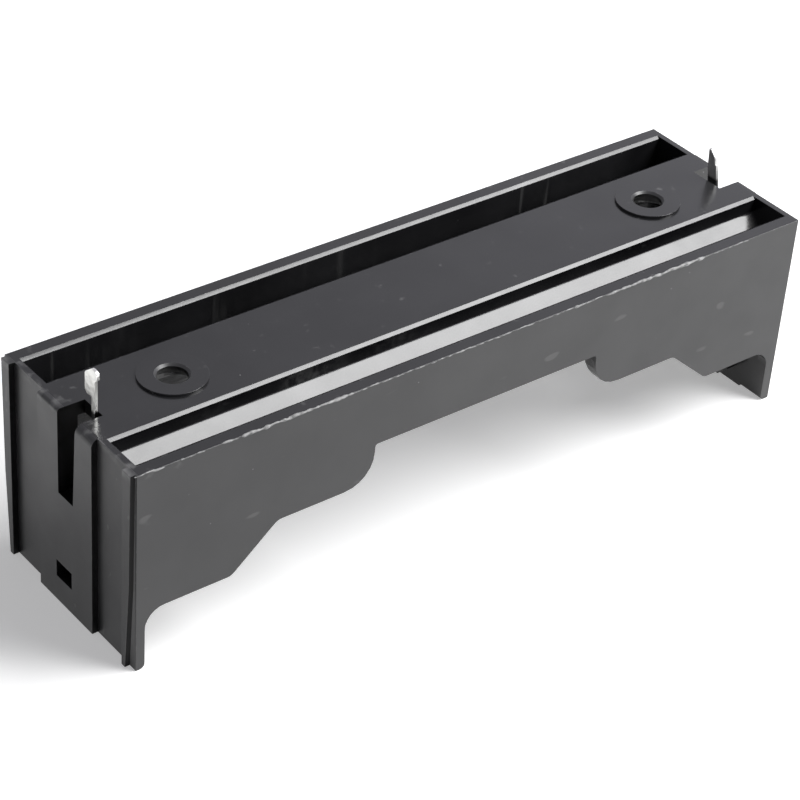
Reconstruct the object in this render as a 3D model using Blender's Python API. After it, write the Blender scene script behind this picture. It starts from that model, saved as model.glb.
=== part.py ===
"""Holder for one round battery cell, resting mouth down as on a bench, with its mounting side up.

Metres, +Z up. +X runs along the cell from the spring end to the nub end, +Y across it, and the origin is
under the middle of the holder, on the plane of its open mouth. One black moulding carries two stamped
contacts, each with a solder pin that comes out of the mounting side, and a conical spring.
"""

import math

import bmesh
import bpy
from mathutils import Vector

MM = 0.001

# The moulding's outer size
BODY_LENGTH = 77.0 * MM
BODY_WIDTH = 21.0 * MM
BODY_HEIGHT = 21.0 * MM

# Walls round the bay that the cell lies in, which is straight-sided below and half round above
SIDE_WALL = 1.2 * MM
ROOF_THICKNESS = 1.33 * MM
END_WALL = 1.4 * MM

# The stepped lower edge of the side walls, from an end towards the middle
FOOT_ROUND = 0.5 * MM
SHOULDER_HEIGHT = 6.2 * MM
SHOULDER_FILLET = 2.0 * MM
SLOPE_START = 10.3 * MM
SLOPE_END = 15.1 * MM
SLOPE_ROUND = 1.2 * MM
SILL_HEIGHT = 10.33 * MM
FINGER_GAP_LENGTH = 26.0 * MM
FINGER_GAP_HEIGHT = 14.33 * MM
FINGER_GAP_ROUND = 3.1 * MM
FINGER_ROOT_ROUND = 0.3 * MM

# The two long pockets that leave a plate in the middle and a rim on each side
PLATE_WIDTH = 10.25 * MM
RIM_WIDTH = 1.6 * MM
CRADLE_WALL = 1.3 * MM
POCKET_SPRING_END_WALL = 1.25 * MM
POCKET_NUB_END_WALL = 0.9 * MM
EDGE_SLOPE_WIDTH = 0.38 * MM
EDGE_SLOPE_DEPTH = 0.19 * MM

# Screw bosses on the plate, as a pair that sits a little nearer to the nub end
SCREW_PITCH = 55.4 * MM
SCREW_SHIFT = 0.15 * MM
BOSS_DIAMETER = 6.4 * MM
BOSS_HEIGHT = 0.25 * MM
SCREW_HOLE_DIAMETER = 2.8 * MM
HOLE_LIP = 0.22 * MM
COUNTERSINK_DIAMETER = 4.8 * MM

# End faces: a proud middle panel, and at the spring end also corner strips, with recesses beside them. Half
# of the spring end's panel has a well rounded top edge, and the others have only a broken edge. The rebates
# along the spring end's corners widen towards the foot
PANEL_WIDTH = 8.6 * MM
PANEL_TOP_ROUND = 0.85 * MM
PANEL_EDGE_BREAK = 0.35 * MM
CORNER_STRIP = 1.5 * MM
SPRING_END_RECESS = 0.6 * MM
NUB_END_RECESS = 0.3 * MM
REBATE_DEPTH = 0.5 * MM
REBATE_TOP_WIDTH = 0.25 * MM
REBATE_MIDDLE_WIDTH = 0.42 * MM
REBATE_FOOT_WIDTH = 0.95 * MM
REBATE_MIDDLE = 9.0 * MM
BLOCK_DEPTH = 2.05 * MM

# Openings in the end faces. A slot's width is taken at its floor, and one of its walls leans outward
SLOT_DEPTH = 2.75 * MM
SLOT_FLOOR = 12.2 * MM
SLOT_FLARE = 0.45 * MM
NEGATIVE_SLOT_WIDTH = 2.35 * MM
NEGATIVE_SLOT_OFFSET = -0.12 * MM
POSITIVE_SLOT_WIDTH = 3.3 * MM
POSITIVE_SLOT_OFFSET = 0.2 * MM
WINDOW_WIDTH = 2.5 * MM
WINDOW_HEIGHT = 1.8 * MM
WINDOW_SILL = 2.7 * MM
WINDOW_OFFSET = 0.3 * MM

# Stamped contacts and the ribs that guide them
SHEET = 0.3 * MM
SEAT_GAP = 0.2 * MM
CONTACT_WIDTH = 10.0 * MM
CONTACT_FOOT = 3.0 * MM
CONTACT_HEADROOM = 0.4 * MM
CONTACT_CORNER = 1.2 * MM
RIB_WALL = 0.9 * MM
RIB_FOOT = 1.5 * MM
LIP_OVERLAP = 0.4 * MM
LIP_THICKNESS = 0.7 * MM

# Positive contact: nub and cranked solder pin, which narrows above a shoulder
NUB_DIAMETER = 5.6 * MM
NUB_TOP_DIAMETER = 3.4 * MM
NUB_HEIGHT = 1.2 * MM
CRANK_START = 0.5 * MM
CRANK_RADIUS = 0.6 * MM
CRANK_LENGTH = 0.66 * MM
CRANK_ANGLE = math.radians(38)
PIN_LEAN = math.radians(9)
POSITIVE_PIN_WIDTH = 1.2 * MM
POSITIVE_PIN_OFFSET = -0.1 * MM
POSITIVE_PIN_HEIGHT = 3.4 * MM
POSITIVE_PIN_SHOULDER = 1.85 * MM
POSITIVE_PIN_STEP = 0.2 * MM
POSITIVE_PIN_TAPER = 0.15 * MM
POSITIVE_PIN_POINT = 0.3 * MM
POSITIVE_PIN_SLANT = 0.8 * MM

# Negative contact: spring seat and solder pin with a folded head
SEAT_DIAMETER = 5.8 * MM
SEAT_TOP_DIAMETER = 4.6 * MM
SEAT_HEIGHT = 0.45 * MM
NEGATIVE_PIN_WIDTH = 0.55 * MM
NEGATIVE_PIN_OFFSET = -1.05 * MM
NEGATIVE_PIN_HEIGHT = 4.4 * MM
HEAD_OUTER = 0.33 * MM
HEAD_INNER = 1.0 * MM
HEAD_LENGTH = 0.75 * MM
HEAD_FOLD_LENGTH = 2.85 * MM
HEAD_DROP = 0.8 * MM
HEAD_ROUND = 0.4 * MM

# Conical contact spring
WIRE_DIAMETER = 0.8 * MM
SPRING_BASE_DIAMETER = 8.6 * MM
SPRING_TIP_DIAMETER = 6.0 * MM
SPRING_LENGTH = 9.5 * MM
COIL_GAP = 0.14 * MM
SPRING_TURNS = 6

# Overrun of a cutter past the face that it opens
OVERRUN = 1.0 * MM

# Points closer together than this are one point
WELD = 0.001 * MM

ARC_STEPS = 6
BAY_STEPS = 40
ROUND_STEPS = 48
POINTS_PER_TURN = 20
SHARP_ANGLE = math.radians(28)

# Places that follow from the sizes above
END = BODY_LENGTH / 2
SIDE = BODY_WIDTH / 2
BAY_RADIUS = SIDE - SIDE_WALL
CELL_HEIGHT = BODY_HEIGHT - ROOF_THICKNESS - BAY_RADIUS
PLATE_FACE = END - BLOCK_DEPTH - SEAT_GAP
CONTACT_TOP = CELL_HEIGHT + math.sqrt(BAY_RADIUS**2 - (CONTACT_WIDTH / 2) ** 2) - CONTACT_HEADROOM
BLACK = (0.012, 0.012, 0.014, 1.0)
TIN = (0.72, 0.72, 0.70, 1.0)
STEEL = (0.55, 0.56, 0.57, 1.0)


def clear_scene():
    for obj in list(bpy.data.objects):
        bpy.data.objects.remove(obj, do_unlink=True)


def material(name, colour, roughness, metallic):
    made = bpy.data.materials.new(name)
    made.use_nodes = True
    shader = made.node_tree.nodes["Principled BSDF"]
    shader.inputs["Base Color"].default_value = colour
    shader.inputs["Roughness"].default_value = roughness
    shader.inputs["Metallic"].default_value = metallic
    made.diffuse_color = colour
    return made


def link_mesh(name, bm):
    """Turns a bmesh into a linked object, with its faces pointing out."""
    bmesh.ops.recalc_face_normals(bm, faces=bm.faces)
    mesh = bpy.data.meshes.new(name)
    bm.to_mesh(mesh)
    bm.free()
    obj = bpy.data.objects.new(name, mesh)
    bpy.context.scene.collection.objects.link(obj)
    return obj


def prism(name, outline, axis, start, end):
    """Extrudes an outline along an axis. Its points are the other two coordinates, in X, Y, Z order."""
    bm = bmesh.new()
    corners = []
    for first, second in outline:
        place = [first, second]
        place.insert(axis, start)
        corners.append(bm.verts.new(place))
    face = bm.faces.new(corners)
    grown = bmesh.ops.extrude_face_region(bm, geom=[face])
    shift = [0.0, 0.0, 0.0]
    shift[axis] = end - start
    moved = [item for item in grown["geom"] if isinstance(item, bmesh.types.BMVert)]
    bmesh.ops.translate(bm, verts=moved, vec=shift)
    return link_mesh(name, bm)


def box(name, low, high):
    outline = [(low[0], low[1]), (high[0], low[1]), (high[0], high[1]), (low[0], high[1])]
    return prism(name, outline, 2, low[2], high[2])


def turned(name, profile, centre, axis):
    """Spins a profile of (radius, distance along the axis) points, both ends of it on the axis."""
    bm = bmesh.new()
    across = Vector((0, 1, 0))
    points = [Vector(centre) + across * radius + Vector(axis) * along for radius, along in profile]
    verts = [bm.verts.new(point) for point in points]
    edges = [bm.edges.new(pair) for pair in zip(verts, verts[1:])]
    bmesh.ops.spin(bm, geom=verts + edges, cent=centre, axis=axis, angle=math.tau,
                   steps=ROUND_STEPS, use_duplicate=False)
    bmesh.ops.remove_doubles(bm, verts=bm.verts, dist=WELD)
    return link_mesh(name, bm)


def combine(target, tool, operation):
    """Cuts the tool from the target, or joins it on, and clears the tool away."""
    tool.hide_render = True
    tool.display_type = "WIRE"
    modifier = target.modifiers.new(tool.name, "BOOLEAN")
    modifier.operation = operation
    modifier.object = tool
    modifier.solver = "EXACT"
    bpy.context.view_layer.update()
    evaluated = target.evaluated_get(bpy.context.evaluated_depsgraph_get())
    result = bpy.data.meshes.new_from_object(evaluated)
    target.modifiers.clear()
    target.data = result
    bpy.data.objects.remove(tool, do_unlink=True)
    return target


def rounded(corners):
    """Closed outline from corners (first, second, radius), each with an arc in place of the corner."""
    points = []
    for index, (first, second, radius) in enumerate(corners):
        corner = Vector((first, second))
        before = Vector(corners[index - 1][:2]) - corner
        after = Vector(corners[(index + 1) % len(corners)][:2]) - corner
        if radius:
            points += corner_arc(corner, before.normalized(), after.normalized(), radius)
        else:
            points.append(corner)
    return [p for i, p in enumerate(points) if (p - points[i - 1]).length > WELD]


def corner_arc(corner, before, after, radius):
    """Points of the arc that touches both sides of a corner."""
    half = before.angle(after) / 2
    centre = corner + (before + after).normalized() * (radius / math.sin(half))
    start = corner + before * (radius / math.tan(half)) - centre
    end = corner + after * (radius / math.tan(half)) - centre
    sweep = math.atan2(start.x * end.y - start.y * end.x, start.dot(end))
    return [centre + turned_by(start, sweep * step / ARC_STEPS) for step in range(ARC_STEPS + 1)]


def turned_by(vector, angle):
    cosine, sine = math.cos(angle), math.sin(angle)
    return Vector((vector.x * cosine - vector.y * sine, vector.x * sine + vector.y * cosine))


def round_section(radius, start, end, steps):
    """Points on a circle about the cell's axis, between two angles from +Y towards +Z, as (y, z)."""
    angles = [start + (end - start) * step / steps for step in range(steps + 1)]
    return [(radius * math.cos(a), CELL_HEIGHT + radius * math.sin(a)) for a in angles]


def bay_half_width(height):
    return math.sqrt(BAY_RADIUS**2 - max(height - CELL_HEIGHT, 0) ** 2)


def bay_core():
    """What the cell bay takes out: a tunnel, less the blocks and guide ribs that stay at its ends."""
    arch = round_section(BAY_RADIUS, 0, math.pi, BAY_STEPS)
    outline = [(BAY_RADIUS, -OVERRUN)] + arch + [(-BAY_RADIUS, -OVERRUN)]
    core = prism("bay_core", outline, 0, -END + END_WALL, END - END_WALL)
    for sign in (-1, 1):
        block = box(
            "end_block",
            (min(sign * END, sign * (END - BLOCK_DEPTH)), -PANEL_WIDTH / 2, -OVERRUN * 2),
            (max(sign * END, sign * (END - BLOCK_DEPTH)), PANEL_WIDTH / 2, BODY_HEIGHT),
        )
        combine(core, block, "DIFFERENCE")
        for side in (-1, 1):
            combine(core, guide_rib(sign, side), "DIFFERENCE")
    return core


def guide_rib(sign, side):
    """A rib that runs along one edge of a contact, with a lip in front of it."""
    wall = CONTACT_WIDTH / 2 + SEAT_GAP
    lip = CONTACT_WIDTH / 2 - LIP_OVERLAP
    lip_back = PLATE_FACE - SHEET - SEAT_GAP
    outline = [
        (sign * END, side * wall),
        (sign * lip_back, side * wall),
        (sign * lip_back, side * lip),
        (sign * (lip_back - LIP_THICKNESS), side * lip),
        (sign * (lip_back - LIP_THICKNESS), side * (wall + RIB_WALL)),
        (sign * END, side * (wall + RIB_WALL)),
    ]
    return prism("guide_rib", outline, 2, RIB_FOOT, BODY_HEIGHT)


def side_cut(side):
    """The stepped opening under one side wall, from foot to foot."""
    foot = END - END_WALL
    gap = FINGER_GAP_LENGTH / 2
    half = [
        (foot + FOOT_ROUND, -OVERRUN, 0),
        (foot + FOOT_ROUND, 0, 0),
        (foot, 0, FOOT_ROUND),
        (foot, SHOULDER_HEIGHT, SHOULDER_FILLET),
        (END - SLOPE_START, SHOULDER_HEIGHT, SLOPE_ROUND),
        (END - SLOPE_END, SILL_HEIGHT, SLOPE_ROUND),
        (gap, SILL_HEIGHT, FINGER_GAP_ROUND),
        (gap, FINGER_GAP_HEIGHT, FINGER_ROOT_ROUND),
    ]
    mirrored = [(-x, z, radius) for x, z, radius in reversed(half)]
    inner = side * (bay_half_width(FINGER_GAP_HEIGHT) - OVERRUN)
    outer = side * (SIDE + OVERRUN)
    return prism("side_cut", rounded(half + mirrored), 1, min(inner, outer), max(inner, outer))


def pocket(side):
    """One long pocket between the plate and a side rim, its floor the outside of the round cradle."""
    rim, plate = SIDE - RIM_WIDTH, PLATE_WIDTH / 2
    radius = BAY_RADIUS + CRADLE_WALL
    edge = BODY_HEIGHT - EDGE_SLOPE_DEPTH
    top = BODY_HEIGHT + OVERRUN
    floor = round_section(radius, math.acos(rim / radius), math.acos(plate / radius), ARC_STEPS * 2)
    outline = [
        (plate - EDGE_SLOPE_WIDTH, top),
        (plate - EDGE_SLOPE_WIDTH, BODY_HEIGHT),
        (plate, edge),
        *reversed(floor),
        (rim, edge),
        (rim + EDGE_SLOPE_WIDTH, BODY_HEIGHT),
        (rim + EDGE_SLOPE_WIDTH, top),
    ]
    start, end = -END + POCKET_SPRING_END_WALL, END - POCKET_NUB_END_WALL
    return prism("pocket", [(side * y, z) for y, z in outline], 0, start, end)


def end_prism(name, sign, depth, outline):
    """A cutter that reaches into an end face; its outline has (y, z) points."""
    inner, outer = sign * (END - depth), sign * (END + OVERRUN)
    return prism(name, outline, 0, min(inner, outer), max(inner, outer))


def end_box(name, sign, depth, low, high):
    """A box that reaches into an end face; low and high are its (y, z) corners."""
    return end_prism(name, sign, depth, [low, (high[0], low[1]), high, (low[0], high[1])])


def shape_end(body, sign, recess, slot, rounds):
    """Recesses (depth, outer side), slot (width, offset), panel rounds and window of one end face."""
    depth, outer = recess
    for side, radius in zip((-1, 1), rounds):
        low, high = sorted((side * PANEL_WIDTH / 2, side * outer))
        cutter = end_box("recess", sign, depth, (low, -OVERRUN), (high, BODY_HEIGHT + OVERRUN))
        combine(body, cutter, "DIFFERENCE")
        combine(body, panel_round(sign, side, radius), "DIFFERENCE")
    combine(body, end_slot(sign, *slot), "DIFFERENCE")
    window_low = (WINDOW_OFFSET - WINDOW_WIDTH / 2, WINDOW_SILL)
    window_high = (WINDOW_OFFSET + WINDOW_WIDTH / 2, WINDOW_SILL + WINDOW_HEIGHT)
    window = end_box("window", sign, BLOCK_DEPTH + OVERRUN, window_low, window_high)
    combine(body, window, "DIFFERENCE")


def corner_rebate(side):
    """The rebate along one corner of the spring end."""
    top, outer = BODY_HEIGHT + OVERRUN, SIDE + OVERRUN
    outline = [
        (SIDE - REBATE_TOP_WIDTH, top),
        (SIDE - REBATE_TOP_WIDTH, BODY_HEIGHT),
        (SIDE - REBATE_MIDDLE_WIDTH, REBATE_MIDDLE),
        (SIDE - REBATE_FOOT_WIDTH, 0),
        (SIDE - REBATE_FOOT_WIDTH, -OVERRUN),
        (outer, -OVERRUN),
        (outer, top),
    ]
    return end_prism("rebate", -1, REBATE_DEPTH, [(side * y, z) for y, z in outline])


def end_slot(sign, width, offset):
    """A slot that is open upward, its wall on the side of -Y leaning out to the flare at the top."""
    low, high = offset - width / 2, offset + width / 2
    outline = [
        (low, SLOT_FLOOR),
        (high, SLOT_FLOOR),
        (high, BODY_HEIGHT + OVERRUN),
        (low - SLOT_FLARE, BODY_HEIGHT + OVERRUN),
        (low - SLOT_FLARE, BODY_HEIGHT),
    ]
    return end_prism("slot", sign, SLOT_DEPTH, outline)


def panel_round(sign, side, radius):
    """Rounds the top edge of one half of the proud middle panel."""
    round_start = END - radius
    outline = [
        (round_start, BODY_HEIGHT + OVERRUN, 0),
        (round_start, BODY_HEIGHT, 0),
        (END, BODY_HEIGHT, radius),
        (END, BODY_HEIGHT - radius, 0),
        (END + OVERRUN, BODY_HEIGHT - radius, 0),
        (END + OVERRUN, BODY_HEIGHT + OVERRUN, 0),
    ]
    points = [(sign * p.x, p.y) for p in rounded(outline)]
    low, high = sorted((0, side * PANEL_WIDTH / 2))
    return prism("panel_round", points, 1, low, high)


def add_boss(body, x):
    """A raised boss on the plate with a through hole, countersunk on the cell's side."""
    top = BODY_HEIGHT + BOSS_HEIGHT
    crown = BODY_HEIGHT - ROOF_THICKNESS
    boss_radius = BOSS_DIAMETER / 2
    hole, sink = SCREW_HOLE_DIAMETER / 2, COUNTERSINK_DIAMETER / 2
    root = BODY_HEIGHT - ROOF_THICKNESS / 2
    disc = [(0, root), (boss_radius, root), (boss_radius, top), (0, top)]
    combine(body, turned("boss", disc, (x, 0, 0), (0, 0, 1)), "UNION")
    cut = [
        (0, crown - OVERRUN),
        (sink, crown - OVERRUN),
        (sink, crown),
        (hole, crown + sink - hole),
        (hole, top - HOLE_LIP),
        (hole + HOLE_LIP, top),
        (hole + HOLE_LIP, top + OVERRUN),
        (0, top + OVERRUN),
    ]
    combine(body, turned("screw_hole", cut, (x, 0, 0), (0, 0, 1)), "DIFFERENCE")


def make_body():
    body = box("holder_body", (-END, -SIDE, 0), (END, SIDE, BODY_HEIGHT))
    combine(body, bay_core(), "DIFFERENCE")
    for side in (-1, 1):
        combine(body, side_cut(side), "DIFFERENCE")
        combine(body, pocket(side), "DIFFERENCE")
    negative_slot = (NEGATIVE_SLOT_WIDTH, NEGATIVE_SLOT_OFFSET)
    positive_slot = (POSITIVE_SLOT_WIDTH, POSITIVE_SLOT_OFFSET)
    spring_end_recess = (SPRING_END_RECESS, SIDE - CORNER_STRIP)
    nub_end_recess = (NUB_END_RECESS, SIDE + OVERRUN)
    shape_end(body, -1, spring_end_recess, negative_slot, (PANEL_TOP_ROUND, PANEL_EDGE_BREAK))
    shape_end(body, 1, nub_end_recess, positive_slot, (PANEL_EDGE_BREAK, PANEL_EDGE_BREAK))
    for side in (-1, 1):
        combine(body, corner_rebate(side), "DIFFERENCE")
    for sign in (-1, 1):
        add_boss(body, SCREW_SHIFT + sign * SCREW_PITCH / 2)
    return body


def follow(path, distance):
    """(outward offset, rise, angle) at a distance along a path of (length, turn) stretches."""
    outward, rise, angle = 0.0, 0.0, 0.0
    for length, turn in path:
        step = min(distance, length)
        if turn:
            radius = length / turn
            reached = angle + turn * step / length
            outward += radius * (math.cos(angle) - math.cos(reached))
            rise += radius * (math.sin(reached) - math.sin(angle))
            angle = reached
        else:
            outward += step * math.sin(angle)
            rise += step * math.cos(angle)
        distance -= step
        if distance <= 0:
            break
    return outward, rise, angle


def bend_stations(path):
    """Distances along the path at which the sheet is divided so that it can bend."""
    stations, start = [], 0.0
    for length, turn in path:
        if turn:
            stations += [start + length * step / ARC_STEPS for step in range(ARC_STEPS + 1)]
        start += length
    return stations


def bent_sheet(name, outline, path, sign):
    """Cuts a flat (across, along) outline from sheet and bends it along the path, at one end of the bay."""
    bm = bmesh.new()
    bm.faces.new([bm.verts.new((0, across, along)) for across, along in outline])
    for station in bend_stations(path):
        geometry = bm.verts[:] + bm.edges[:] + bm.faces[:]
        bmesh.ops.bisect_plane(bm, geom=geometry, dist=WELD, plane_co=(0, 0, station), plane_no=(0, 0, 1))
    grown = bmesh.ops.extrude_face_region(bm, geom=bm.faces[:])
    inner = [item for item in grown["geom"] if isinstance(item, bmesh.types.BMVert)]
    bmesh.ops.translate(bm, verts=inner, vec=(SHEET, 0, 0))
    for vert in bm.verts:
        depth, across, along = vert.co
        outward, rise, angle = follow(path, along)
        reach = PLATE_FACE + outward - depth * math.cos(angle)
        height = CONTACT_FOOT + rise + depth * math.sin(angle)
        vert.co = (sign * reach, across, height)
    return link_mesh(name, bm)


def press_form(sheet, sign, base, top, height):
    """Presses a round form out of a contact, about the cell's axis and towards the cell."""
    centre = (sign * (PLATE_FACE - SHEET), 0, CELL_HEIGHT)
    inward = (-sign, 0, 0)
    outer = [(0, -SHEET / 2), (base / 2, -SHEET / 2)] + crown_curve(base / 2, top / 2, height)
    combine(sheet, turned("form", outer + [(0, height)], centre, inward), "UNION")
    back = -SHEET - OVERRUN
    hollow = crown_curve(base / 2 - SHEET, top / 2 - SHEET, height)
    hollow = [(radius, along - SHEET) for radius, along in hollow]
    profile = [(0, back), (base / 2 - SHEET, back)] + hollow + [(0, height - SHEET)]
    combine(sheet, turned("hollow", profile, centre, inward), "DIFFERENCE")


def crown_curve(base, top, height):
    """The flank of a pressed form, as (radius, along), with no sharp change at its foot or its top."""
    points = []
    for step in range(ARC_STEPS + 1):
        share = step / ARC_STEPS
        rise = height * (1 - math.cos(math.pi * share)) / 2
        points.append((base + (top - base) * share, rise))
    return points


def contact_outline(pin):
    """Flat outline of a contact, as (across, along) from its foot, with the given pin on its top edge."""
    half, top = CONTACT_WIDTH / 2, CONTACT_TOP - CONTACT_FOOT
    corners = [
        (-half, 0, CONTACT_CORNER),
        (half, 0, CONTACT_CORNER),
        (half, top, CONTACT_CORNER),
        *pin,
        (-half, top, CONTACT_CORNER),
    ]
    return rounded(corners)


def make_positive_contact():
    """Contact with a nub, its pin cranked out through the wide slot, narrowed and cut to a slant."""
    plate_top = CONTACT_TOP - CONTACT_FOOT
    crank = (CRANK_RADIUS * CRANK_ANGLE, CRANK_ANGLE)
    back = (CRANK_RADIUS * (CRANK_ANGLE + PIN_LEAN), -CRANK_ANGLE - PIN_LEAN)
    path = [(plate_top + CRANK_START, 0), crank, (CRANK_LENGTH, 0), back]
    rise = CONTACT_FOOT + follow(path, sum(length for length, turn in path))[1]
    straight = (BODY_HEIGHT + POSITIVE_PIN_HEIGHT - rise) / math.cos(PIN_LEAN)
    path.append((straight, 0))
    tip = sum(length for length, turn in path)
    shoulder = tip - (POSITIVE_PIN_HEIGHT - POSITIVE_PIN_SHOULDER) / math.cos(PIN_LEAN)
    right = POSITIVE_PIN_OFFSET - POSITIVE_PIN_WIDTH / 2
    left = right + POSITIVE_PIN_WIDTH
    pin = [
        (left, plate_top, 0),
        (left, shoulder, 0),
        (left - POSITIVE_PIN_TAPER, tip, 0),
        (left - POSITIVE_PIN_TAPER - POSITIVE_PIN_POINT, tip, 0),
        (right + POSITIVE_PIN_STEP, tip - POSITIVE_PIN_SLANT, 0),
        (right + POSITIVE_PIN_STEP, shoulder, 0),
        (right, shoulder, 0),
        (right, plate_top, 0),
    ]
    contact = bent_sheet("positive_contact", contact_outline(pin), path, 1)
    press_form(contact, 1, NUB_DIAMETER, NUB_TOP_DIAMETER, NUB_HEIGHT)
    return contact


def make_negative_contact():
    """Contact with a low seat for the spring and a straight pin whose head is folded over to one side."""
    plate_top = CONTACT_TOP - CONTACT_FOOT
    tip = BODY_HEIGHT + NEGATIVE_PIN_HEIGHT - CONTACT_FOOT
    right = NEGATIVE_PIN_OFFSET - NEGATIVE_PIN_WIDTH / 2
    left = right + NEGATIVE_PIN_WIDTH
    pin = [
        (left, plate_top, 0),
        (left, tip - HEAD_FOLD_LENGTH, 0),
        (left + HEAD_INNER, tip - HEAD_FOLD_LENGTH, HEAD_ROUND),
        (left + HEAD_INNER, tip - HEAD_DROP, HEAD_ROUND),
        (left, tip, HEAD_ROUND),
        (right - HEAD_OUTER, tip, HEAD_ROUND),
        (right - HEAD_OUTER, tip - HEAD_LENGTH, HEAD_ROUND),
        (right, tip - HEAD_LENGTH - HEAD_OUTER, 0),
        (right, plate_top, 0),
    ]
    contact = bent_sheet("negative_contact", contact_outline(pin), [(tip, 0)], -1)
    press_form(contact, -1, SEAT_DIAMETER, SEAT_TOP_DIAMETER, SEAT_HEIGHT)
    return contact


def coil_rise(turn):
    """Rise of the wire's centre line after so many turns: closed end coils, open ones between them."""
    closed = WIRE_DIAMETER + COIL_GAP
    travel = SPRING_LENGTH - WIRE_DIAMETER
    pitch = (travel - 2 * closed) / (SPRING_TURNS - 2)
    if turn <= 1:
        return closed * turn
    if turn >= SPRING_TURNS - 1:
        return travel - closed * (SPRING_TURNS - turn)
    return closed + pitch * (turn - 1)


def make_spring():
    """Conical coil spring: its wide end on the negative contact, its narrow end towards the cell."""
    curve = bpy.data.curves.new("contact_spring", "CURVE")
    curve.dimensions = "3D"
    curve.bevel_depth = WIRE_DIAMETER / 2
    curve.bevel_resolution = 2
    curve.use_fill_caps = True
    base = (SPRING_BASE_DIAMETER - WIRE_DIAMETER) / 2
    tip = (SPRING_TIP_DIAMETER - WIRE_DIAMETER) / 2
    count = SPRING_TURNS * POINTS_PER_TURN
    spline = curve.splines.new("POLY")
    spline.points.add(count)
    for index, point in enumerate(spline.points):
        turn = index / POINTS_PER_TURN
        radius = base + (tip - base) * index / count
        angle = math.tau * turn
        along = WIRE_DIAMETER / 2 + coil_rise(turn)
        point.co = (along, radius * math.cos(angle), radius * math.sin(angle), 1)
    spring = bpy.data.objects.new("contact_spring", curve)
    bpy.context.scene.collection.objects.link(spring)
    spring.location = (-(PLATE_FACE - SHEET) + SEAT_GAP, 0, CELL_HEIGHT)
    return spring


def finish(obj, surface, smooth_mesh=True):
    obj.data.materials.clear()
    obj.data.materials.append(surface)
    if smooth_mesh:
        obj.data.shade_smooth()
        obj.data.set_sharp_from_angle(angle=SHARP_ANGLE)


def main():
    clear_scene()
    tin = material("tinned_plate", TIN, 0.3, 1.0)
    finish(make_body(), material("black_plastic", BLACK, 0.3, 0.0))
    finish(make_negative_contact(), tin)
    finish(make_positive_contact(), material("plated_steel", STEEL, 0.35, 1.0))
    finish(make_spring(), material("spring_steel", STEEL, 0.25, 1.0), smooth_mesh=False)


main()
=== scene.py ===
# %% [markdown]
# # A holder for one round battery cell
# The real object is one black injection moulding that lies here mouth down, so that its mounting plate,
# two screw bosses and two solder pins point up. Inside it sit two stamped contacts and a coil spring.
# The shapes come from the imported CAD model. This script gives them their looks: softened edges, moulded
# plastic, tinned sheet, spring wire, the burr of the parting line, and the light of a small photo table.

import math

import bmesh
import bpy
from mathutils import Matrix, Quaternion, Vector, noise


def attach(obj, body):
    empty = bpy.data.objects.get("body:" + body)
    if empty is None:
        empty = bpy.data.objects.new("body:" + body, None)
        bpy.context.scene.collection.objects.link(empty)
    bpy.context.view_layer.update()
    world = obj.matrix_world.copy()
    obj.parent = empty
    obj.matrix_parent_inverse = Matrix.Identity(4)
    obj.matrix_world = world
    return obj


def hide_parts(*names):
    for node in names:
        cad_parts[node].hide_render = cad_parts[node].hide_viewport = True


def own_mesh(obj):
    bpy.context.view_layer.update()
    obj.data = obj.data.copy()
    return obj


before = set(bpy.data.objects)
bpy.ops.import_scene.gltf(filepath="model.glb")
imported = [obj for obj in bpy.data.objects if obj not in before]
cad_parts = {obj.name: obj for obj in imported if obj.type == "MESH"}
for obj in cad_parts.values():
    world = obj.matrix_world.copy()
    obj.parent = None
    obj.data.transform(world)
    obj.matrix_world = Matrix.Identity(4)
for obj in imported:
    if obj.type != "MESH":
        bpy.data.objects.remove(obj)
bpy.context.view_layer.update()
MM = 0.001

# %% [markdown]
# ## The camera
# The photograph was taken from the left, in front and above, with a long lens that flattens the view.
# A camera could be placed by eye, but its place, its turn and its lens were worked out from the corners of
# the moulding, so here they are plain numbers. The small roll is the tilt of the hand-held camera.

# %% Place the camera
CAMERA_PLACE = Vector((-0.13151, -0.153525, 0.149835))
CAMERA_HEADING = math.radians(40.2146)
CAMERA_DIP = math.radians(35.0959)
CAMERA_ROLL = math.radians(4.4116)
LENS_LENGTH = 117.303
NEAREST, FARTHEST = 0.01, 20


def make_camera():
    """A camera that looks along its heading, dips below the horizon and is rolled a little."""
    level = math.cos(CAMERA_DIP)
    east, north = math.sin(CAMERA_HEADING) * level, math.cos(CAMERA_HEADING) * level
    along = Vector((east, north, -math.sin(CAMERA_DIP)))
    camera = bpy.data.objects.new("camera", bpy.data.cameras.new("camera"))
    bpy.context.scene.collection.objects.link(camera)
    camera.location = CAMERA_PLACE
    camera.rotation_mode = "QUATERNION"
    camera.rotation_quaternion = along.to_track_quat("-Z", "Y") @ Quaternion((0, 0, 1), CAMERA_ROLL)
    camera.data.lens = LENS_LENGTH
    camera.data.clip_start, camera.data.clip_end = NEAREST, FARTHEST
    bpy.context.scene.camera = camera
    return camera


camera = make_camera()
bpy.context.scene.view_settings.view_transform = "Standard"
print("camera", [round(x, 4) for x in camera.location], "lens", camera.data.lens, "mm")

# %% [markdown]
# ## Short ways to build a material
# A procedural material is a small tree of nodes. Every tree here needs the same few steps: read where a
# point lies on the piece, make a pattern there, stretch the pattern's values and mix two colours with them.
# These helpers keep each material readable, because an input may be a number or another node's output.


# %% Helpers for material nodes
def add_node(tree, kind, inputs=None, **settings):
    made = tree.nodes.new("ShaderNode" + kind)
    for name, value in settings.items():
        setattr(made, name, value)
    for key, value in (inputs or {}).items():
        if isinstance(value, bpy.types.NodeSocket):
            tree.links.new(value, made.inputs[key])
        else:
            made.inputs[key].default_value = value
    return made


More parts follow.
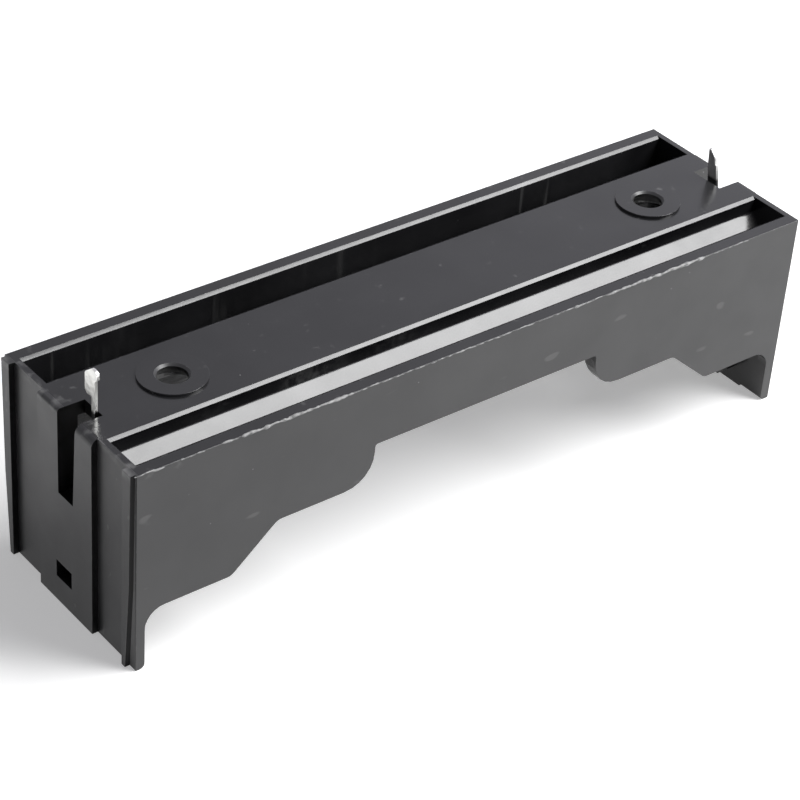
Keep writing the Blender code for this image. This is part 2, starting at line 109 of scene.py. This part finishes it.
def start_finish(name):
    """A new material, with its tree, its shader and the place of each point on the piece, in metres."""
    finish = bpy.data.materials.new(name)
    finish.use_nodes = True
    tree = finish.node_tree
    place = add_node(tree, "TexCoord").outputs["Object"]
    return finish, tree, tree.nodes["Principled BSDF"], place


def cloudy(tree, place, size, detail=2.0, stretch=(1, 1, 1)):
    """Soft random clouds from 0 to 1; size is how far apart they are, in metres."""
    turned = add_node(tree, "Mapping", {"Vector": place, "Scale": stretch}).outputs["Vector"]
    return add_node(tree, "TexNoise", {"Vector": turned, "Scale": 1 / size, "Detail": detail}).outputs[0]


def between(tree, value, low, high, to_low=0.0, to_high=1.0):
    """Stretches what lies between low and high over the new range, and clips the rest."""
    inputs = {"Value": value, "From Min": low, "From Max": high, "To Min": to_low, "To Max": to_high}
    return add_node(tree, "MapRange", inputs).outputs["Result"]


def calculate(tree, operation, first, second=0.0):
    return add_node(tree, "Math", {0: first, 1: second}, operation=operation).outputs[0]


def mix_colours(tree, share, first, second):
    inputs = {0: share, 6: first, 7: second}
    return add_node(tree, "Mix", inputs, data_type="RGBA").outputs[2]


def mix_numbers(tree, share, first, second):
    return add_node(tree, "Mix", {0: share, 2: first, 3: second}).outputs[0]


def roughen(tree, shader, height, depth, under=None):
    """Raises the surface by height times depth, in metres, on top of an earlier bump."""
    inputs = {"Height": height, "Distance": depth, "Strength": 1.0}
    if under is not None:
        inputs["Normal"] = under
    bump = add_node(tree, "Bump", inputs).outputs["Normal"]
    tree.links.new(bump, shader.inputs["Normal"])
    return bump


def grey(level, blue=0.0):
    return (level, level, level + blue, 1.0)


# %% [markdown]
# ## Black moulded plastic
# The moulding is black ABS. It isn't one flat black: the core of the mould, which shapes the plate and the
# pockets, was polished, so those have a soft gloss, while its sides and ends came off plainer steel and
# look duller. The two blacks are also painted light and shade: the polished part gets a darker black as
# painted shade for the deep pockets, and the sides, the ends and the screw lips a greyer black as painted
# light where the lamps reach them. The colour drifts where the melt flowed, and handling has left hairline
# scratches and dust. The edges get pale patches, partly bruises and partly a painted highlight along them.
# Most of the brightness comes from the shader's own reflection, so the colours themselves stay nearly
# black. A point's place on the piece tells the outer skin from the polished part, and an attribute that the
# bevel leaves tells the edges from the faces.
# The tight slot, the screw holes and the steps of the end faces get a flatter, less glossy black of their
# own: painted shade for these deep, narrow places. It could be one more mask in the same material, but a
# face belongs to one or the other, so a second material on those faces is plainer.

# %% Make the black plastic
# Two blacks: the polished part's darker one is painted shade for the pockets, the skin's greyer one painted
# light on the sides, the ends and the screw lips.
POLISHED_SHADE_DARK, POLISHED_SHADE_LIGHT = grey(0.003, 0.0005), grey(0.011, 0.001)
SKIN_LIT_DARK, SKIN_LIT_LIGHT = grey(0.011, 0.001), grey(0.02, 0.001)
SCRATCH = grey(0.05)
BRUISE_AND_EDGE_SHEEN = grey(0.16)
DUST = grey(0.22)
SMEAR = grey(0.06)
# The flatter black of the slot, the screw holes and the end steps is painted shade.
PAINTED_SHADE_DARK, PAINTED_SHADE_LIGHT = grey(0.002), grey(0.005, 0.0005)
PLASTIC_IOR, PAINTED_SHADE_SPECULAR = 1.58, 0.14
POLISHED_ROUGH, SKIN_ROUGH, PAINTED_SHADE_ROUGH = (0.19, 0.26), (0.36, 0.44), (0.38, 0.5)
PEEL_SIZE, PEEL_DEPTH = 0.9 * MM, 0.0015 * MM
GRAIN_SIZE, GRAIN_DEPTH = 0.12 * MM, 0.0006 * MM
SKIN_BEYOND_Y, SKIN_BEYOND_X, SKIN_BLUR = 10.42 * MM, 37.8 * MM, 0.02 * MM
SCREW_MIDDLE, SCREW_REACH, SCREW_LIP = 0.15 * MM, 27.7 * MM, 1.66 * MM
SCUFF_SIZE, SCUFF_SHARE = 1.4 * MM, 0.75
SCUFF_START, SCUFF_END, SCUFF_LOW, SCUFF_HIGH = -38.2 * MM, -35.0 * MM, 20.1 * MM, 20.8 * MM
SCUFF_SCARCE = (0.46, 0.68)
SPECK_SPACING, SPECK_GROUPS = 1.7 * MM, 12 * MM
RIM_MARKS = {"wall": 8.9 * MM, "middle": 0.0, "reach": 60 * MM,
             "size": 1.6 * MM, "stretch": (1, 1, 0.07), "amount": (0.56, 0.72)}
PLATE_MARKS = {"wall": -5.12 * MM, "middle": -16 * MM, "reach": 14 * MM,
               "size": 0.8 * MM, "stretch": (1, 1, 1), "amount": (0.4, 0.65)}


def outer_skin(tree, axes):
    """1 on the side walls and the end faces, 0 on what the polished core shaped."""
    past = [between(tree, calculate(tree, "ABSOLUTE", axes[axis]), edge - SKIN_BLUR, edge + SKIN_BLUR)
            for axis, edge in (("X", SKIN_BEYOND_X), ("Y", SKIN_BEYOND_Y))]
    return calculate(tree, "MAXIMUM", *past)


def screw_lips(tree, axes):
    """1 on the lips of the two screw holes, which a drill left dull."""
    from_middle = calculate(tree, "ABSOLUTE", calculate(tree, "SUBTRACT", axes["X"], SCREW_MIDDLE))
    offset = add_node(tree, "CombineXYZ", {"X": calculate(tree, "SUBTRACT", from_middle, SCREW_REACH),
                                           "Y": axes["Y"]}).outputs[0]
    reach = add_node(tree, "VectorMath", {0: offset}, operation="LENGTH").outputs["Value"]
    return between(tree, reach, SCREW_LIP, SCREW_LIP - 0.04 * MM)


def end_scuffs(tree, place, axes):
    """Pale scuffs on top of the spring end, which is knocked most; they thin out along the plate."""
    scarce = between(tree, axes["X"], SCUFF_START, SCUFF_END, *SCUFF_SCARCE)
    above = calculate(tree, "SUBTRACT", cloudy(tree, place, SCUFF_SIZE), scarce)
    patches = between(tree, above, 0.0, 0.26)
    at_top = between(tree, axes["Z"], SCUFF_LOW, SCUFF_HIGH)
    return calculate(tree, "MULTIPLY", patches, at_top)


def marks_on_wall(tree, place, axes, wall, middle, reach, size, stretch, amount):
    """Marks only on the upright wall at a distance across, in groups within reach of a middle along it."""
    off_wall = calculate(tree, "ABSOLUTE", calculate(tree, "SUBTRACT", axes["Y"], wall))
    on_wall = between(tree, off_wall, 0.1 * MM, 0.05 * MM)
    marks = between(tree, cloudy(tree, place, size, 3.0, stretch), *amount)
    groups = between(tree, cloudy(tree, place, 14 * MM, 1.0, (1, 0, 0)), 0.45, 0.62)
    off_middle = calculate(tree, "ABSOLUTE", calculate(tree, "SUBTRACT", axes["X"], middle))
    near = between(tree, off_middle, reach, reach - 6 * MM)
    drawn = calculate(tree, "MULTIPLY", marks, calculate(tree, "MULTIPLY", groups, near))
    return calculate(tree, "MULTIPLY", drawn, on_wall)


def make_plastic():
    finish, tree, shader, place = start_finish("black_moulded_plastic")
    axes = add_node(tree, "SeparateXYZ", {"Vector": place}).outputs
    # This mask sets the roughness and the colour; the greyer skin black on it is painted light.
    skin_and_lit_faces = calculate(tree, "MAXIMUM", outer_skin(tree, axes), screw_lips(tree, axes))
    drift = between(tree, cloudy(tree, place, 9 * MM, 3.0), 0.3, 0.7)
    colour = mix_colours(tree, skin_and_lit_faces, mix_colours(tree, drift, POLISHED_SHADE_DARK, POLISHED_SHADE_LIGHT),
                         mix_colours(tree, drift, SKIN_LIT_DARK, SKIN_LIT_LIGHT))
    scratches = between(tree, cloudy(tree, place, 0.9 * MM, 1.0, (0.2, 1, 0.5)), 0.74, 0.77)
    colour = mix_colours(tree, calculate(tree, "MULTIPLY", scratches, skin_and_lit_faces), colour, SCRATCH)
    specks = add_node(tree, "TexVoronoi", {"Vector": place, "Scale": 1 / SPECK_SPACING}).outputs["Distance"]
    dusty = calculate(tree, "MULTIPLY", between(tree, specks, 0.05, 0.03),
                      between(tree, cloudy(tree, place, SPECK_GROUPS), 0.5, 0.62))
    colour = mix_colours(tree, dusty, colour, DUST)
    for marks in (RIM_MARKS, PLATE_MARKS):
        colour = mix_colours(tree, marks_on_wall(tree, place, axes, **marks), colour, SMEAR)
    # Pale ragged patches on the bevel faces are partly bruises and partly a painted highlight along the
    # edges; the scuffs on the spring end's top are wear.
    edge = add_node(tree, "Attribute", attribute_name="edge").outputs["Fac"]
    ragged = between(tree, cloudy(tree, place, 0.8 * MM, 4.0), 0.56, 0.72, 0.0, 0.6)
    scuffs = calculate(tree, "MULTIPLY", end_scuffs(tree, place, axes), SCUFF_SHARE)
    worn_and_sheen = calculate(tree, "MAXIMUM", calculate(tree, "MULTIPLY", edge, ragged), scuffs)
    tree.links.new(mix_colours(tree, worn_and_sheen, colour, BRUISE_AND_EDGE_SHEEN), shader.inputs["Base Color"])
    clouds = cloudy(tree, place, 3.5 * MM, 4.0)
    rough = mix_numbers(tree, skin_and_lit_faces, between(tree, clouds, 0.3, 0.7, *POLISHED_ROUGH),
                        between(tree, clouds, 0.3, 0.7, *SKIN_ROUGH))
    tree.links.new(rough, shader.inputs["Roughness"])
    shader.inputs["IOR"].default_value = PLASTIC_IOR
    peel = roughen(tree, shader, cloudy(tree, place, PEEL_SIZE), PEEL_DEPTH)
    roughen(tree, shader, cloudy(tree, place, GRAIN_SIZE, 1.0), GRAIN_DEPTH, peel)
    return finish


def make_shade_plastic():
    finish, tree, shader, place = start_finish("painted_shade_black_plastic")
    grain = between(tree, cloudy(tree, place, 0.7 * MM, 3.0), 0.3, 0.7)
    tree.links.new(mix_colours(tree, grain, PAINTED_SHADE_DARK, PAINTED_SHADE_LIGHT), shader.inputs["Base Color"])
    tree.links.new(between(tree, grain, 0.0, 1.0, *PAINTED_SHADE_ROUGH), shader.inputs["Roughness"])
    shader.inputs["Specular IOR Level"].default_value = PAINTED_SHADE_SPECULAR
    return finish


plastic, shade_plastic = make_plastic(), make_shade_plastic()
print("materials", plastic.name, "with", len(plastic.node_tree.nodes), "nodes and", shade_plastic.name)

# %% [markdown]
# ## Copies of the CAD pieces, with softened edges
# A moulded or stamped edge is never knife sharp: a radius of about a tenth of a millimetre catches the
# light and draws the thin bright lines that make a product look real. A CAD node's own mesh must not
# change, so each piece is a copy. Its loose triangles are merged and its flat areas become whole faces.
# Then the sharp edges are bevelled, and the new narrow faces are marked, so that the finish finds them.


# %% Helpers that copy and soften a CAD piece
SAME_PLACE, SAME_PLANE = 0.001 * MM, math.radians(0.4)


def merged_copy(node):
    """A bmesh of a CAD node, with its loose triangles merged and its flat areas made whole."""
    bm = bmesh.new()
    bm.from_mesh(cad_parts[node].data)
    bmesh.ops.remove_doubles(bm, verts=bm.verts, dist=SAME_PLACE)
    bmesh.ops.dissolve_limit(bm, angle_limit=SAME_PLANE, use_dissolve_boundaries=False,
                             verts=bm.verts, edges=bm.edges, delimit=set())
    return bm


def soften_edges(bm, width, sharper_than, segments=2):
    """Rounds the outward edges sharper than an angle and marks the new faces in the attribute edge.

    An edge shorter than twice the width has no room for the round, and neither have the edges at its ends.
    Corners that the rounding leaves in one place are merged, because a face between them has no area.
    """
    marks = bm.faces.layers.float.new("edge")
    crowded = {vert for e in bm.edges if e.calc_length() < 2 * width for vert in e.verts}
    sharp = [e for e in bm.edges if e.is_manifold and e.is_convex and e.calc_face_angle() > sharper_than
             and not crowded.intersection(e.verts)]
    rounded = bmesh.ops.bevel(bm, geom=sharp, offset=width, offset_type="OFFSET", affect="EDGES",
                              segments=segments, profile=0.5, material=-1, clamp_overlap=True)
    for face in rounded["faces"]:
        face[marks] = 1.0
    bmesh.ops.remove_doubles(bm, verts=bm.verts, dist=SAME_PLACE)
    return len(sharp)


def finish_piece(name, bm, material, body, node=None, smooth_under=35):
    """Turns a bmesh into a smooth shaded piece that rides on a body and may stand for a CAD node."""
    mesh = bpy.data.meshes.new(name)
    bm.to_mesh(mesh)
    bm.free()
    mesh.materials.append(material)
    mesh.shade_smooth()
    mesh.set_sharp_from_angle(angle=math.radians(smooth_under))
    piece = bpy.data.objects.new(name, mesh)
    bpy.context.scene.collection.objects.link(piece)
    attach(piece, body)
    if node:
        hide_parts(node)
    print(name, len(mesh.polygons), "faces")
    return piece


def flatten_shading(piece):
    """Lets the large faces set the normals, so that only the softened edges look round."""
    weighted = piece.modifiers.new("flat_faces", "WEIGHTED_NORMAL")
    weighted.keep_sharp = True
    weighted.weight = 100


# %% Soften the moulding
MOULDED_RADIUS, MOULDED_CORNER = 0.1 * MM, math.radians(24)
SLOT_START, END_SKIN, PROUD_FACE = 35.7 * MM, 37.85 * MM, 38.48 * MM
HALF_SLOT, SLOT_TOP = 2.3 * MM, 20.9 * MM
HOLE_ROOF, HOLE_TOP, COUNTERSINK = 19.69 * MM, 21.0 * MM, 2.45 * MM
FACES_ACROSS = 0.9


def gets_painted_shade(face):
    """Whether a face lies in the spring end's slot, in a screw hole, or is a step of an end face."""
    place = face.calc_center_median()
    along, across = abs(place.x), abs(place.y)
    in_slot = (SLOT_START < -place.x < PROUD_FACE - MOULDED_RADIUS
               and across < HALF_SLOT and place.z < SLOT_TOP)
    from_screw = math.hypot(abs(place.x - SCREW_MIDDLE) - SCREW_REACH, place.y)
    in_hole = from_screw < COUNTERSINK and HOLE_ROOF < place.z < HOLE_TOP
    is_step = (END_SKIN < along < PROUD_FACE
               and abs(face.normal.y) > FACES_ACROSS and across < SKIN_BEYOND_Y)
    return in_slot or in_hole or is_step


body_mesh = merged_copy("holder_body")
print("softened", soften_edges(body_mesh, MOULDED_RADIUS, MOULDED_CORNER), "edges of the moulding")
# These faces get the flatter black, painted shade for the slot, the holes and the steps.
shade_painted = [face for face in body_mesh.faces if gets_painted_shade(face)]
for face in shade_painted:
    face.material_index = 1
print("eroded faces:", len(shade_painted))
moulding = finish_piece("moulding", body_mesh, plastic, "holder", "holder_body")
moulding.data.materials.append(shade_plastic)
flatten_shading(moulding)

# %% [markdown]
# ## The metal parts
# The contacts are stamped from thin plated sheet. The left pin was dipped in solder and is bright and
# lumpy; the right one has gone dull. Both get a dark band painted where they pass through the slot, as
# painted shade for the slot's shadow on them. The spring is drawn wire with a thin plating.

# %% Make the metal finishes
SHADE_BAND_MIDDLE, SHADE_BAND_REACH, SHADE_BAND_FADE = 19.7 * MM, 1.3 * MM, 0.3 * MM
SLOT_SHADE_COLOUR = grey(0.06)


def make_metal(name, dark, light, rough, lumps, paint_slot_shade=True):
    """Stained metal that was drawn upwards; lumps are their size and their depth."""
    finish, tree, shader, place = start_finish(name)
    stains = between(tree, cloudy(tree, place, 1.1 * MM, 4.0), 0.35, 0.65)
    colour = mix_colours(tree, stains, dark, light)
    # The dark band is painted shade where the pins sit in the slot.
    if paint_slot_shade:
        height = add_node(tree, "SeparateXYZ", {"Vector": place}).outputs["Z"]
        off_middle = calculate(tree, "ABSOLUTE", calculate(tree, "SUBTRACT", height, SHADE_BAND_MIDDLE))
        in_slot_shade = between(tree, off_middle, SHADE_BAND_REACH + SHADE_BAND_FADE, SHADE_BAND_REACH)
        colour = mix_colours(tree, in_slot_shade, colour, SLOT_SHADE_COLOUR)
    tree.links.new(colour, shader.inputs["Base Color"])
    shader.inputs["Metallic"].default_value = 1.0
    drawn = cloudy(tree, place, 0.25 * MM, 3.0, (1, 1, 0.06))
    tree.links.new(between(tree, drawn, 0.3, 0.7, *rough), shader.inputs["Roughness"])
    lump_size, lump_depth = lumps
    lumpy = roughen(tree, shader, cloudy(tree, place, lump_size), lump_depth)
    roughen(tree, shader, drawn, 0.002 * MM, lumpy)
    return finish


tinned = make_metal("solder_tinned_sheet", (0.86, 0.86, 0.83, 1), (0.97, 0.97, 0.94, 1),
                    rough=(0.26, 0.42), lumps=(0.45 * MM, 0.05 * MM))
dulled = make_metal("dulled_plated_sheet", (0.56, 0.56, 0.55, 1), (0.74, 0.74, 0.72, 1),
                    rough=(0.46, 0.56), lumps=(0.6 * MM, 0.02 * MM))
spring_wire = make_metal("plated_spring_wire", (0.50, 0.50, 0.51, 1), (0.68, 0.68, 0.69, 1),
                         rough=(0.18, 0.3), lumps=(0.8 * MM, 0.01 * MM), paint_slot_shade=False)

# %% Soften the contacts
STAMPED_RADIUS, STAMPED_CORNER = 0.05 * MM, math.radians(30)
for name, node, finish, slot in (
    ("tinned_contact", "negative_contact", tinned, "tinned_plate"),
    ("nub_contact", "positive_contact", dulled, "plated_steel"),
):
    sheet = merged_copy(node)
    soften_edges(sheet, STAMPED_RADIUS, STAMPED_CORNER)
    flatten_shading(finish_piece(name, sheet, finish, "holder", node))

# %% [markdown]
# ## The burr of the parting line
# The mould closed along the top edge of the side walls. On the near side a thin thread of plastic was
# squeezed out there and torn off, which left it lumpy, thick in some stretches and nearly gone in others.
# Its pale colour is partly torn plastic and partly a painted highlight along the thread. A line of paint on
# the edge would look flat from the side, so the thread is a real one: a small ring is extruded along the
# edge, and each new ring gets its own thickness.


# %% Helpers that draw a tube out of a ring
def start_tube(bm, sides, radius, matrix):
    section = bmesh.ops.create_circle(bm, segments=sides, radius=radius, matrix=matrix, cap_ends=False)
    return list({edge for vert in section["verts"] for edge in vert.link_edges})


def draw_ring(bm, ring):
    """Extrudes a ring of edges and returns the new ring with its corners, which are still in place."""
    grown = bmesh.ops.extrude_edge_only(bm, edges=ring)["geom"]
    edges = [item for item in grown if isinstance(item, bmesh.types.BMEdge)]
    return edges, [item for item in grown if isinstance(item, bmesh.types.BMVert)]


def close_tube(bm, first_ring, last_ring):
    """Caps both ends and sorts the faces by their corners, as extruding leaves them in a chance order."""
    bmesh.ops.contextual_create(bm, geom=first_ring)
    bmesh.ops.contextual_create(bm, geom=last_ring)
    bmesh.ops.recalc_face_normals(bm, faces=bm.faces)
    bm.verts.index_update()
    in_order = sorted(bm.faces, key=lambda face: sorted(vert.index for vert in face.verts))
    for index, face in enumerate(in_order):
        face.index = index
    bm.faces.sort()


# %% Lay the burr
BURR_EDGE = Vector((0, -10.46, 20.97)) * MM
BURR_START, BURR_END, BURR_STEP = -38.2 * MM, 38.0 * MM, 0.2 * MM
BURR_SIDES = 6
BURR_THREAD, BURR_TRACE, BURR_WANDER = 0.078 * MM, 0.03 * MM, 0.1 * MM
BURR_BARE = ((-35.4, -33.8), (-31.4, -29.6), (31.5, 39.0))
BURR_THICK = ((-27.5, -16.0), (13.5, 25.5))
BURR_LUMPS = ((-36.1, 0.07), (-29.0, 0.08), (-26.7, 0.07), (-24.9, 0.06), (-22.3, 0.05), (-17.5, 0.06),
              (9.7, 0.05), (18.0, 0.06), (19.9, 0.05), (23.3, 0.12), (25.2, 0.06))
LUMP_LENGTH = 0.35
SWELL_THICK, SWELL_THIN = 1.5, 0.8


def burr_thickness(x):
    """Radius of the thread at a place along the edge, both in mm: grain, stretches and lumps."""
    if any(start < x < end for start, end in BURR_BARE):
        return BURR_TRACE / MM / 2
    swell = SWELL_THICK if any(start < x < end for start, end in BURR_THICK) else SWELL_THIN
    grain = 0.9 + 0.7 * noise.noise((x / 0.45, 0.0, 0.0)) + 0.4 * noise.noise((x / 2.3, 5.0, 0.0))
    lumps = sum(size * math.exp(-(((x - place) / LUMP_LENGTH) ** 2)) for place, size in BURR_LUMPS)
    return max(BURR_TRACE / MM, BURR_THREAD / MM * swell * grain) + lumps


def burr_wander(x):
    """How far the thread hangs out from the edge and down the wall at a place along it, in metres."""
    out, down = noise.noise((x / 0.9, 9.0, 0.0)), noise.noise((x / 1.3, 0.0, 7.0)) - 0.4
    return BURR_WANDER * Vector((0, 0.4 * out, down))


def lay_burr():
    bm = bmesh.new()
    count = round((BURR_END - BURR_START) / BURR_STEP)
    place = BURR_EDGE + Vector((BURR_START, 0, 0))
    upright = Matrix.Translation(place) @ Matrix.Rotation(math.pi / 2, 4, "Y")
    thickness = burr_thickness(BURR_START / MM) * MM
    ring = first_ring = start_tube(bm, BURR_SIDES, thickness, upright)
    for step in range(1, count + 1):
        ring, verts = draw_ring(bm, ring)
        along = BURR_START + step * BURR_STEP
        moved = BURR_EDGE + Vector((along, 0, 0)) + burr_wander(along / MM)
        wanted = burr_thickness(along / MM) * MM
        bmesh.ops.translate(bm, verts=verts, vec=moved - place)
        place = moved
        bmesh.ops.scale(bm, verts=verts, vec=(1, wanted / thickness, wanted / thickness),
                        space=Matrix.Translation(-place))
        thickness = wanted
    close_tube(bm, first_ring, ring)
    return bm


# Pale colour of the thread: partly torn plastic, partly a painted highlight.
TORN_AND_SHEEN_DARK, TORN_AND_SHEEN_LIGHT, TORN_ROUGH = grey(0.12), grey(0.36), (0.4, 0.6)


def make_torn_plastic_with_sheen():
    finish, tree, shader, place = start_finish("torn_plastic_painted_highlight")
    torn = between(tree, cloudy(tree, place, 0.5 * MM, 3.0), 0.35, 0.62)
    tree.links.new(mix_colours(tree, torn, TORN_AND_SHEEN_DARK, TORN_AND_SHEEN_LIGHT), shader.inputs["Base Color"])
    tree.links.new(between(tree, torn, 0.0, 1.0, *TORN_ROUGH), shader.inputs["Roughness"])
    return finish


finish_piece("parting_burr", lay_burr(), make_torn_plastic_with_sheen(), "holder", smooth_under=60)

# %% [markdown]
# ## The coil spring
# The spring is wound from round wire, wide where it sits on its contact and narrow where it meets the
# cell. A curve with a round bevel could draw it, but a piece that shortens with a joint has to be a mesh.
# So one round section of wire is drawn out step by step, as the burr is, and each new ring is turned about
# the spring's axis, shifted along it by the pitch and moved in by the taper, as on a coiling machine.

# %% Wind the spring
WIRE_RADIUS = 0.4 * MM
SPRING_SEAT = Vector((-35.75 * MM, 0, 10.37 * MM))
COIL_BASE, COIL_TIP = 3.9 * MM, 2.6 * MM
SPRING_LENGTH = 9.5 * MM
CLOSED_PITCH = 0.94 * MM
TURNS = 6
STEPS_PER_TURN = 40
WIRE_SIDES = 12


def coil_rise(turn):
    """How far the wire's centre has come along the axis: closed end coils, open ones between them."""
    travel = SPRING_LENGTH - 2 * WIRE_RADIUS
    open_pitch = (travel - 2 * CLOSED_PITCH) / (TURNS - 2)
    if turn <= 1:
        return CLOSED_PITCH * turn
    if turn >= TURNS - 1:
        return travel - CLOSED_PITCH * (TURNS - turn)
    return CLOSED_PITCH + open_pitch * (turn - 1)


def wind_spring():
    bm = bmesh.new()
    upright = Matrix.Translation(SPRING_SEAT + Vector((WIRE_RADIUS, COIL_BASE, 0)))
    ring = first_ring = start_tube(bm, WIRE_SIDES, WIRE_RADIUS, upright)
    count = TURNS * STEPS_PER_TURN
    turn_step = Matrix.Rotation(math.tau / STEPS_PER_TURN, 3, "X")
    for step in range(1, count + 1):
        ring, verts = draw_ring(bm, ring)
        bmesh.ops.rotate(bm, verts=verts, cent=SPRING_SEAT, matrix=turn_step)
        angle = math.tau * step / STEPS_PER_TURN
        outward = Vector((0, math.cos(angle), math.sin(angle)))
        rise = coil_rise(step / STEPS_PER_TURN) - coil_rise((step - 1) / STEPS_PER_TURN)
        shift = Vector((rise, 0, 0)) + outward * ((COIL_TIP - COIL_BASE) / count)
        bmesh.ops.translate(bm, verts=verts, vec=shift)
    close_tube(bm, first_ring, ring)
    return bm


spring = finish_piece("coil_spring", wind_spring(), spring_wire, "holder", "contact_spring")
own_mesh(spring)

# %% [markdown]
# ## The photo table
# The floor is a plain pale sheet. A lit sheet alone would look grey, so it also glows a little for the
# camera and for reflections, which makes it white while it keeps the holder's shadow. The lamp doesn't
# reach far, so the glow grows with the distance and the floor runs into the white background. One large
# soft box stands where the slopes of the pocket mirror it towards the camera, because those bright bands
# are what shows the round cradle in the photograph. The world gives the rest as even, plain light. Only
# its mirror image grows brighter towards the nub end, like a room with a window there, and is a little
# bluish.

# %% Lay the floor
FLOOR_DROP = 0.02 * MM
FLOOR_RADIUS, FLOOR_SIDES = 3.0, 64
PAPER_DARK, PAPER_LIGHT, PAPER_ROUGHNESS = grey(0.86), grey(0.88), 0.9
GLOW, GLOW_RISES = (0.35, 0.9), (0.12, 0.5)


def sort_rays(tree):
    """1 for rays from the camera, else 0, and 1 for mirrored or transmitted rays, else 0."""
    path = add_node(tree, "LightPath").outputs
    mirrored = calculate(tree, "MAXIMUM", path["Is Glossy Ray"], path["Is Transmission Ray"])
    return path["Is Camera Ray"], mirrored


def make_floor():
    finish, tree, shader, place = start_finish("pale_sheet")
    paper = between(tree, cloudy(tree, place, 20 * MM, 3.0), 0.3, 0.7)
    tree.links.new(mix_colours(tree, paper, PAPER_DARK, PAPER_LIGHT), shader.inputs["Base Color"])
    shader.inputs["Roughness"].default_value = PAPER_ROUGHNESS
    shader.inputs["Specular IOR Level"].default_value = 0.0
    shader.inputs["Emission Color"].default_value = grey(1.0)
    distance = add_node(tree, "VectorMath", {0: place}, operation="LENGTH").outputs["Value"]
    glow = between(tree, distance, *GLOW_RISES, *GLOW)
    seen_or_mirrored = calculate(tree, "MAXIMUM", *sort_rays(tree))
    tree.links.new(calculate(tree, "MULTIPLY", seen_or_mirrored, glow), shader.inputs["Emission Strength"])
    bm = bmesh.new()
    bmesh.ops.create_circle(bm, segments=FLOOR_SIDES, radius=FLOOR_RADIUS, cap_ends=True,
                            matrix=Matrix.Translation((0, 0, -FLOOR_DROP)))
    mesh = bpy.data.meshes.new("floor")
    bm.to_mesh(mesh)
    bm.free()
    mesh.materials.append(finish)
    floor = bpy.data.objects.new("floor", mesh)
    bpy.context.scene.collection.objects.link(floor)


make_floor()
print("floor", FLOOR_RADIUS, "m in radius")

# %% Light the world
WORLD_LEVEL = 0.15
DIM_SIDE, WINDOW_SIDE = 0.55, 1.0
WINDOW_EDGE = (0.4, 0.65)
SKY_TINT = (0.93, 0.925, 1.0, 1.0)


def light_world():
    world = bpy.data.worlds.new("even_light")
    world.use_nodes = True
    bpy.context.scene.world = world
    tree = world.node_tree
    direction = add_node(tree, "TexCoord").outputs["Object"]
    toward = add_node(tree, "SeparateXYZ", {"Vector": direction}).outputs["X"]
    room = between(tree, toward, *WINDOW_EDGE, DIM_SIDE, WINDOW_SIDE)
    seen, mirrored = sort_rays(tree)
    level = between(tree, mirrored, 0.0, 1.0, WORLD_LEVEL, room)
    background = tree.nodes["Background"].inputs
    tree.links.new(calculate(tree, "MAXIMUM", level, seen), background["Strength"])
    tree.links.new(mix_colours(tree, seen, SKY_TINT, grey(1.0)), background["Color"])


light_world()
print("world level", WORLD_LEVEL)

# %% Hang the lamp
AIM = Vector((0, 0, 0.015))


def hang_soft_box(name, direction, long_side, distance, width, length, power):
    """A rectangular lamp that faces the holder from a direction and is turned by its long side."""
    lamp = bpy.data.lights.new(name, "AREA")
    lamp.shape = "RECTANGLE"
    lamp.size, lamp.size_y = width, length
    lamp.energy = power
    box = bpy.data.objects.new(name, lamp)
    bpy.context.scene.collection.objects.link(box)
    away = Vector(direction).normalized()
    side = (Vector(long_side) - away * away.dot(Vector(long_side))).normalized()
    box.location = AIM + away * distance
    box.rotation_mode = "QUATERNION"
    box.rotation_quaternion = Matrix((side.cross(away), side, away)).transposed().to_quaternion()
    print(name, [round(x, 3) for x in box.location], power, "W")


hang_soft_box("key_soft_box", direction=(0.53, -0.39, 0.75), long_side=(0, -0.88, -0.47),
              distance=0.5, width=0.27, length=0.46, power=4.4)
